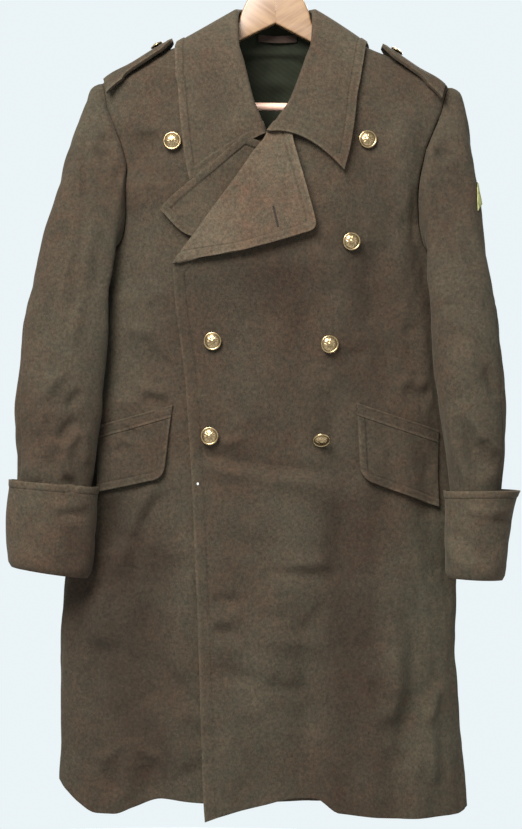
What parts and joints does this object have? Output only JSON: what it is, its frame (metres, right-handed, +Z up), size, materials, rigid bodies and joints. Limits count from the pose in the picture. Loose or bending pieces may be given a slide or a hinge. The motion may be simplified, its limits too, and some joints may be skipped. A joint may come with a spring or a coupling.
{
  "type": "military overcoat on coat hanger",
  "caption": "Double-breasted woollen military greatcoat with a wide collar, turned-back cuffs and shoulder straps, hanging on a wooden coat hanger.",
  "frame": {"origin": "inside top of the hanger's hook, where it hangs on a rail", "axes": "+Z up, the front faces -Y, +X to the viewer's right, which is the wearer's left"},
  "size_m": [0.7084, 0.1744, 1.2307],
  "materials": {
    "wool": "thick milled wool cloth, matt",
    "lining": "dark twill lining",
    "loop": "woven tape",
    "badge": "plain embroidered patch",
    "brass": "gilt, polished",
    "beech": "clear varnish",
    "dowel": "bare turned wood",
    "steel": "plated wire"
  },
  "bodies": {
    "root": {"back": "wool", "back_lining": "lining", "button_left_1": "brass", "button_left_2": "brass", "button_left_3": "brass", "button_left_4": "brass", "button_over_3": "brass", "button_over_4": "brass", "button_right_1": "brass", "collar": "wool", "cuff_left": "wool", "cuff_right": "wool", "front_left_over": "wool", "front_right_under": "wool", "hang_loop": "loop", "hanger_bar": "dowel", "hanger_half_left": "beech", "hanger_half_right": "beech", "hanger_hook": "steel", "lapel_left": "wool", "lapel_right": "wool", "pocket_flap_left": "wool", "pocket_flap_right": "wool", "pocket_welt_left": "wool", "pocket_welt_right": "wool", "shoulder_strap_left": "wool", "shoulder_strap_right": "wool", "sleeve_badge": "badge", "sleeve_left_top": "wool", "sleeve_left_under": "wool", "sleeve_right_top": "wool", "sleeve_right_under": "wool", "strap_button_left": "brass", "strap_button_right": "brass"}
  },
  "joints": []
}
